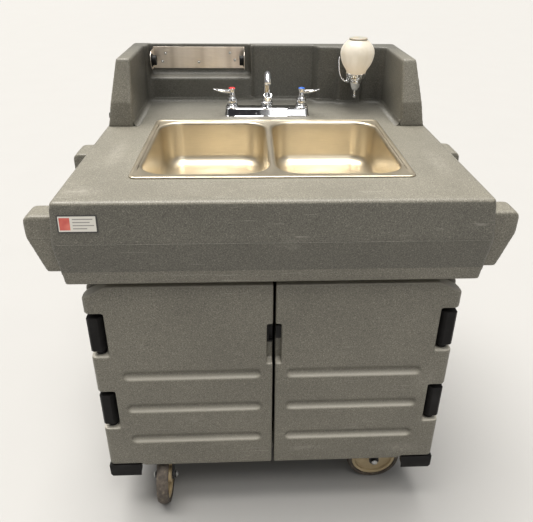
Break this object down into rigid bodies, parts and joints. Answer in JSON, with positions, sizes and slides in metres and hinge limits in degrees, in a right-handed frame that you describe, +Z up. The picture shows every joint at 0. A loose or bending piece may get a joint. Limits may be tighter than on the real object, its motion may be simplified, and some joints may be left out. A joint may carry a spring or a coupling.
{
  "type": "portable handwash sink",
  "caption": "Self-contained handwash cart: moulded counter with backsplash, drop-in double bowl, faucet, soap and towel holders, two-door cabinet and casters.",
  "frame": {"origin": "on the floor, under the middle of the overall width and depth", "axes": "+X to the user's right, -Y towards the user, +Z up"},
  "size_m": [1.03, 0.85, 1.1533],
  "materials": {
    "moulding": "rotomoulded, fine stone speckle",
    "stainless": "brushed",
    "chrome": "polished",
    "zinc_steel": "zinc plated",
    "black_plastic": "satin",
    "rubber": "matte",
    "tyre": "matte",
    "tan_hub": "satin",
    "painted_steel": "black powder coat",
    "red_plastic": "gloss",
    "blue_plastic": "gloss",
    "milky_globe": "translucent milky",
    "cream_plastic": "satin",
    "label": "printed film",
    "white_pvc": "satin",
    "grey_hose": "satin",
    "tank_plastic": "translucent polyethylene",
    "heater_enamel": "white enamelled casing"
  },
  "bodies": {
    "cart": {"countertop": "moulding", "backsplash": "moulding", "backsplash_knobs": "black_plastic", "info_plate": "label", "sink_basin": "stainless", "sink_gasket": "rubber", "underside_clamps": "zinc_steel", "drain_strainers": "stainless", "drain_manifold": "white_pvc", "drain_hose": "grey_hose", "faucet_body": "chrome", "faucet_bonnets": "chrome", "towel_plate": "stainless", "towel_hubs": "black_plastic", "towel_screws": "zinc_steel", "soap_bracket": "chrome", "soap_globe": "milky_globe", "soap_valve": "chrome", "cabinet_body": "moulding", "hinge_brackets": "black_plastic", "hinge_pins": "zinc_steel", "door_catches": "rubber", "corner_bumpers": "black_plastic", "rigid_forks": "painted_steel", "swivel_plates": "painted_steel", "waste_tank": "tank_plastic", "waste_cap": "black_plastic", "fresh_tank": "tank_plastic", "fresh_cap": "blue_plastic", "water_heater": "heater_enamel", "pump": "black_plastic", "supply_hoses": "grey_hose", "control_box": "black_plastic"},
    "left_door": {"left_door": "moulding", "left_hinge_knuckles": "black_plastic", "latch_strike": "black_plastic"},
    "right_door": {"right_door": "moulding", "right_hinge_knuckles": "black_plastic"},
    "latch": {"latch_lever": "black_plastic"},
    "hot_handle": {"hot_lever": "chrome", "hot_cap": "red_plastic"},
    "cold_handle": {"cold_lever": "chrome", "cold_cap": "blue_plastic"},
    "swing_spout": {"spout": "chrome", "aerator": "chrome"},
    "soap_lid": {"soap_cap": "cream_plastic"},
    "soap_push": {"soap_plunger": "chrome"},
    "front_swivel": {"front_swivel_fork": "painted_steel"},
    "rear_swivel": {"rear_swivel_fork": "painted_steel"},
    "front_brake": {"front_brake_pedal": "painted_steel"},
    "rear_brake": {"rear_brake_pedal": "painted_steel"},
    "front_left_wheel": {"front_left_tyre": "tyre", "front_left_hub": "tan_hub"},
    "rear_left_wheel": {"rear_left_tyre": "tyre", "rear_left_hub": "tan_hub"},
    "front_right_wheel": {"front_right_tyre": "tyre", "front_right_hub": "tan_hub"},
    "rear_right_wheel": {"rear_right_tyre": "tyre", "rear_right_hub": "tan_hub"},
    "rocker": {"rocker_switch": "red_plastic"}
  },
  "joints": [
    {"name": "left_door_hinge", "type": "hinge", "parent": "cart", "child": "left_door", "pos_m": [-0.407, -0.363, 0.45], "axis": [0, 0, 1], "range_deg": [-170, 0]},
    {"name": "right_door_hinge", "type": "hinge", "parent": "cart", "child": "right_door", "pos_m": [0.407, -0.363, 0.45], "axis": [0, 0, 1], "range_deg": [0, 170]},
    {"name": "latch_pivot", "type": "hinge", "parent": "right_door", "child": "latch", "pos_m": [0.01, -0.371, 0.604], "axis": [1, 0, 0], "range_deg": [-25, 0], "stiffness_Nm_per_rad": 0.05, "springref_deg": 17.19},
    {"name": "hot_turn", "type": "hinge", "parent": "cart", "child": "hot_handle", "pos_m": [-0.1016, 0.212, 1.01], "axis": [0, 0, 1], "range_deg": [0, 90]},
    {"name": "cold_turn", "type": "hinge", "parent": "cart", "child": "cold_handle", "pos_m": [0.1016, 0.212, 1.01], "axis": [0, 0, 1], "range_deg": [-90, 0]},
    {"name": "spout_swivel", "type": "hinge", "parent": "cart", "child": "swing_spout", "pos_m": [0, 0.212, 1], "axis": [0, 0, 1], "range_deg": [-78, 78]},
    {"name": "soap_lid_lift", "type": "slide", "parent": "cart", "child": "soap_lid", "axis": [0, 0, 1], "range_m": [0, 0.06]},
    {"name": "soap_push_up", "type": "slide", "parent": "cart", "child": "soap_push", "axis": [0, 0, 1], "range_m": [0, 0.01], "stiffness_N_per_m": 250, "springref_m": -0.004},
    {"name": "front_swivel_turn", "type": "hinge", "parent": "cart", "child": "front_swivel", "pos_m": [-0.295, -0.295, 0.168], "axis": [0, 0, 1], "continuous": true},
    {"name": "rear_swivel_turn", "type": "hinge", "parent": "cart", "child": "rear_swivel", "pos_m": [-0.295, 0.295, 0.168], "axis": [0, 0, 1], "continuous": true},
    {"name": "front_brake_press", "type": "hinge", "parent": "front_swivel", "child": "front_brake", "pos_m": [-0.295, -0.271, 0.1322], "axis": [1, 0, 0], "range_deg": [-12, 0], "stiffness_Nm_per_rad": 1, "springref_deg": 8.59},
    {"name": "rear_brake_press", "type": "hinge", "parent": "rear_swivel", "child": "rear_brake", "pos_m": [-0.295, 0.319, 0.1322], "axis": [1, 0, 0], "range_deg": [-12, 0], "stiffness_Nm_per_rad": 1, "springref_deg": 8.59},
    {"name": "front_left_wheel_spin", "type": "hinge", "parent": "front_swivel", "child": "front_left_wheel", "pos_m": [-0.295, -0.341, 0.0762], "axis": [1, 0, 0], "continuous": true},
    {"name": "rear_left_wheel_spin", "type": "hinge", "parent": "rear_swivel", "child": "rear_left_wheel", "pos_m": [-0.295, 0.249, 0.0762], "axis": [1, 0, 0], "continuous": true},
    {"name": "front_right_wheel_spin", "type": "hinge", "parent": "cart", "child": "front_right_wheel", "pos_m": [0.295, -0.295, 0.0762], "axis": [0, 1, 0], "continuous": true},
    {"name": "rear_right_wheel_spin", "type": "hinge", "parent": "cart", "child": "rear_right_wheel", "pos_m": [0.295, 0.295, 0.0762], "axis": [0, 1, 0], "continuous": true},
    {"name": "rocker_tilt", "type": "hinge", "parent": "cart", "child": "rocker", "pos_m": [-0.275, 0.341, 0.5], "axis": [1, 0, 0], "range_deg": [-14, 0]}
  ]
}
